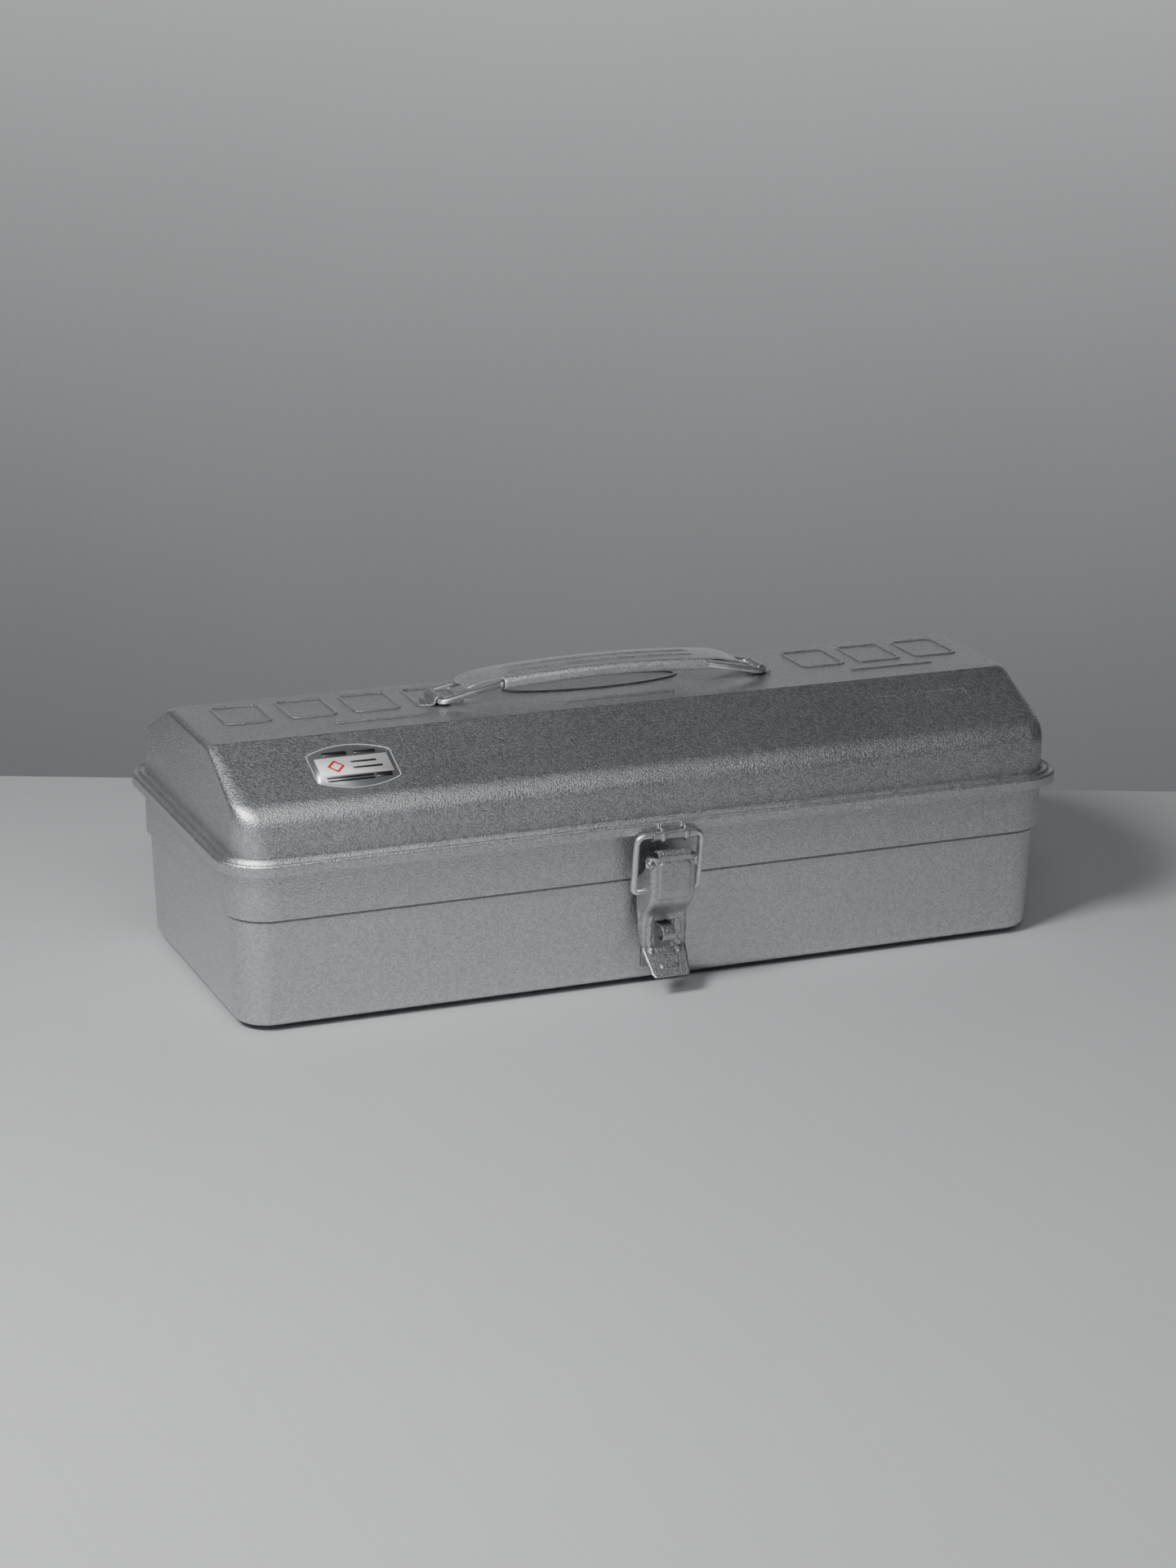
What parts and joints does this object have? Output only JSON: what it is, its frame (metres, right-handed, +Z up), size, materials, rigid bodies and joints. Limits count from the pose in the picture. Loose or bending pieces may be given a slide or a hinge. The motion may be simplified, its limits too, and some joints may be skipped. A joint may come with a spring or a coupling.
{
  "type": "metal tool box",
  "caption": "Pressed steel tool box with a sloped lid on rear hinges, a folding sheet handle on wire links, a draw latch with a padlock eye, and a lift-out tray.",
  "frame": {"origin": "centre of the flat bottom, on the surface the box stands on", "axes": "+X along the box's length, to the right seen from the latch; -Y towards the latch; +Z up"},
  "size_m": [0.359, 0.1656, 0.1172],
  "materials": {
    "silver_paint": "fine metallic silver paint, semi-gloss",
    "handle_paint": "fine metallic silver paint, semi-gloss, a shade darker",
    "plated_steel": "bright zinc-plated steel wire and pins",
    "sticker_film": "thin printed film"
  },
  "bodies": {
    "body": {"body_shell": "silver_paint", "hinge_body_leaf_left": "silver_paint", "hinge_body_leaf_right": "silver_paint", "hinge_pin_left": "plated_steel", "hinge_pin_right": "plated_steel", "latch_base": "silver_paint", "padlock_staple": "silver_paint", "latch_pin": "plated_steel"},
    "lid": {"lid_shell": "silver_paint", "hinge_lid_leaf_left": "silver_paint", "hinge_lid_leaf_right": "silver_paint", "handle_bridge_left": "silver_paint", "handle_bridge_right": "silver_paint", "latch_keeper": "silver_paint", "sticker": "sticker_film"},
    "tray": {"tray": "silver_paint", "tray_divider": "silver_paint"},
    "grip": {"handle_grip": "handle_paint"},
    "link_left": {"handle_link_left": "plated_steel"},
    "link_right": {"handle_link_right": "plated_steel"},
    "lever": {"latch_lever": "silver_paint"},
    "bail": {"latch_bail": "plated_steel"}
  },
  "joints": [
    {"name": "lid_open", "type": "hinge", "parent": "body", "child": "lid", "pos_m": [0, 0.0795, 0.069], "axis": [-1, 0, 0], "range_deg": [0, 105]},
    {"name": "tray_lift", "type": "slide", "parent": "body", "child": "tray", "axis": [0, 0, 1], "range_m": [0, 0.02]},
    {"name": "handle_lift", "type": "slide", "parent": "lid", "child": "grip", "axis": [0, 0, 1], "range_m": [0, 0.006]},
    {"name": "link_left_turn", "type": "hinge", "parent": "lid", "child": "link_left", "pos_m": [-0.0705, 0, 0.1071], "axis": [0, -1, 0], "range_deg": [0, 11.4]},
    {"name": "link_right_turn", "type": "hinge", "parent": "lid", "child": "link_right", "pos_m": [0.0705, 0, 0.1071], "axis": [0, 1, 0], "range_deg": [0, 11.4]},
    {"name": "latch_lever", "type": "hinge", "parent": "body", "child": "lever", "pos_m": [-0.00145, -0.0806, 0.0555], "axis": [-1, 0, 0], "range_deg": [0, 115]},
    {"name": "latch_bail", "type": "hinge", "parent": "lever", "child": "bail", "pos_m": [-0.00145, -0.0743, 0.0423], "axis": [-1, 0, 0], "range_deg": [-160, 0]}
  ],
  "couplings": [
    {"joint": "link_left_turn", "follows": "handle_lift", "rad_per_m": 33},
    {"joint": "link_right_turn", "follows": "handle_lift", "rad_per_m": 33},
    {"joint": "latch_bail", "follows": "latch_lever", "ratio": -1.39}
  ]
}
